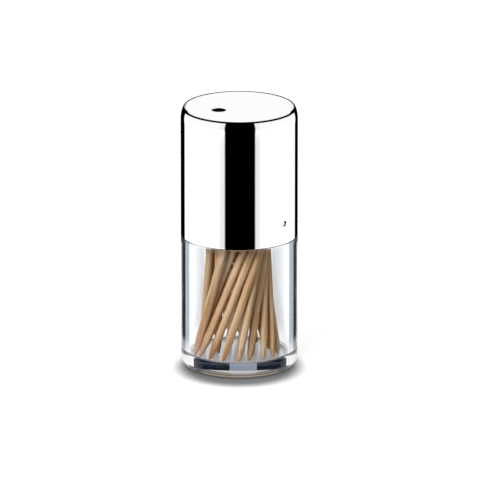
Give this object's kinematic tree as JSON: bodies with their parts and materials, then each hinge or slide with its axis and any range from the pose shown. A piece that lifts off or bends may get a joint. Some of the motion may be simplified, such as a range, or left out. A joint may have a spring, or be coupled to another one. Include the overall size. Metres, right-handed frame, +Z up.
{
  "type": "toothpick holder",
  "caption": "Upright round toothpick dispenser: clear cup full of wooden toothpicks under a tall mirror-bright lift-off cap with an off-centre dispensing hole.",
  "frame": {"origin": "centre of the underside of the clear cup, on the surface that the holder stands on", "axes": "+Z up along the holder's axis, -Y towards the front, where the dispensing hole is left of the axis and one dimple is right of it, +X to the right"},
  "size_m": [0.035, 0.035, 0.08],
  "materials": {
    "clear_acrylic": "clear, polished",
    "mirror_steel": "mirror polished",
    "birch_wood": "turned, unvarnished"
  },
  "bodies": {
    "cup_body": {"cup": "clear_acrylic", "toothpick_01": "birch_wood", "toothpick_02": "birch_wood", "toothpick_03": "birch_wood", "toothpick_04": "birch_wood", "toothpick_05": "birch_wood", "toothpick_06": "birch_wood", "toothpick_07": "birch_wood", "toothpick_08": "birch_wood", "toothpick_09": "birch_wood", "toothpick_10": "birch_wood", "toothpick_11": "birch_wood", "toothpick_12": "birch_wood", "toothpick_13": "birch_wood", "toothpick_14": "birch_wood", "toothpick_15": "birch_wood", "toothpick_16": "birch_wood", "toothpick_17": "birch_wood", "toothpick_18": "birch_wood", "toothpick_19": "birch_wood", "toothpick_20": "birch_wood", "toothpick_21": "birch_wood", "toothpick_22": "birch_wood", "toothpick_23": "birch_wood", "toothpick_24": "birch_wood", "toothpick_25": "birch_wood", "toothpick_26": "birch_wood", "toothpick_27": "birch_wood"},
    "cap_body": {"cap": "mirror_steel"},
    "dispensed_body": {"dispensing_toothpick": "birch_wood"}
  },
  "joints": [
    {"name": "cap_lift", "type": "slide", "parent": "cup_body", "child": "cap_body", "axis": [0, 0, 1], "range_m": [0, 0.036]},
    {"name": "toothpick_dispense", "type": "slide", "parent": "cup_body", "child": "dispensed_body", "axis": [0, 0, 1], "range_m": [0, 0.078]}
  ]
}
